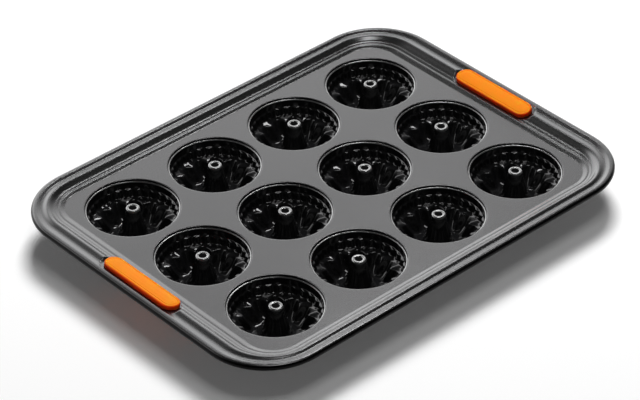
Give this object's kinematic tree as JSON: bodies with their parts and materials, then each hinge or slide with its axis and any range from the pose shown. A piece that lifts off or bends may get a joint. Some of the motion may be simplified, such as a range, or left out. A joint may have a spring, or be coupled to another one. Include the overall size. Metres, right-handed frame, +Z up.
{
  "type": "mini fluted tube pan",
  "caption": "Rectangular coated steel baking tray with rows of deep fluted cups, an open tube in each cup, a rolled rim and soft grips on the short sides.",
  "frame": {"origin": "middle of the pan at the flat floors of the cups, which it stands on", "axes": "+X along the long side towards grip_right, +Y along the short side, +Z up through the tubes"},
  "size_m": [0.402, 0.3038, 0.0357],
  "materials": {
    "tray_coating": "satin dark grey non-stick coating",
    "cup_coating": "glossy black non-stick coating",
    "wire": "plain drawn wire",
    "grip": "satin moulded orange silicone"
  },
  "bodies": {
    "root": {"tray": "tray_coating", "rim_wire": "wire", "cup_1_1": "cup_coating", "cup_1_2": "cup_coating", "cup_1_3": "cup_coating", "cup_2_1": "cup_coating", "cup_2_2": "cup_coating", "cup_2_3": "cup_coating", "cup_3_1": "cup_coating", "cup_3_2": "cup_coating", "cup_3_3": "cup_coating", "cup_4_1": "cup_coating", "cup_4_2": "cup_coating", "cup_4_3": "cup_coating", "grip_left": "grip", "grip_right": "grip"}
  },
  "joints": []
}
